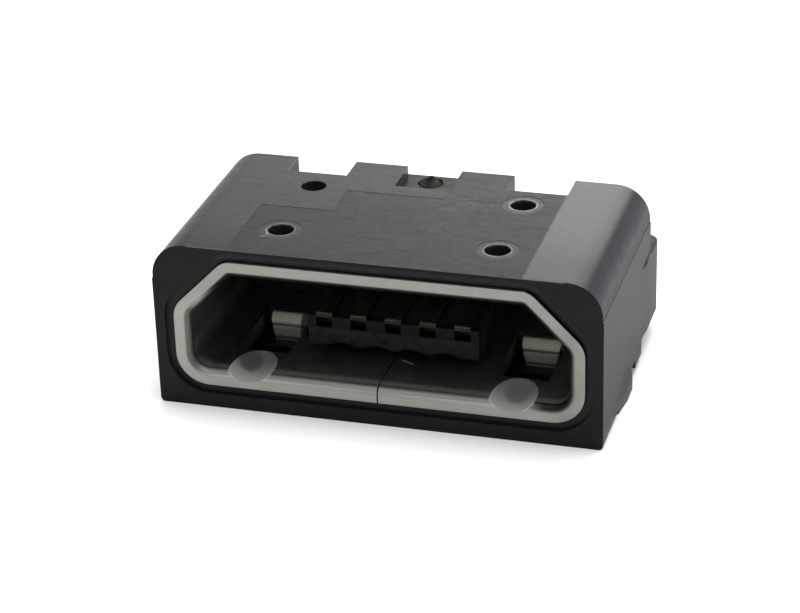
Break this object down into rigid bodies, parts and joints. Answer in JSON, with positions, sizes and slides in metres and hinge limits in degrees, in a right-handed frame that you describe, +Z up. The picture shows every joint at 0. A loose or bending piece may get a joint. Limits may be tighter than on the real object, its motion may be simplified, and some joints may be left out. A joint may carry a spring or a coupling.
{
  "type": "charging port connector",
  "caption": "Small board-mounted charging port: black moulded body around a folded steel shell, contact tongue inside, solder tails behind.",
  "frame": {"origin": "middle of the footprint, on the board plane that the underside, the two legs and the contact tails share", "axes": "+X runs across the mouth to the right as seen from the front, the mouth faces -Y, +Z is up from the board"},
  "size_m": [0.0084, 0.0054, 0.0032],
  "materials": {
    "housing_plastic": "fine matt moulded black, glass filled",
    "shell_steel": "plain stainless sheet",
    "insulator_plastic": "matt moulded black",
    "contact_gold": "thin gold plating"
  },
  "bodies": {
    "root": {"housing": "housing_plastic", "shell": "shell_steel", "insulator": "insulator_plastic", "contact_1": "contact_gold", "contact_2": "contact_gold", "contact_3": "contact_gold", "contact_4": "contact_gold", "contact_5": "contact_gold"}
  },
  "joints": []
}
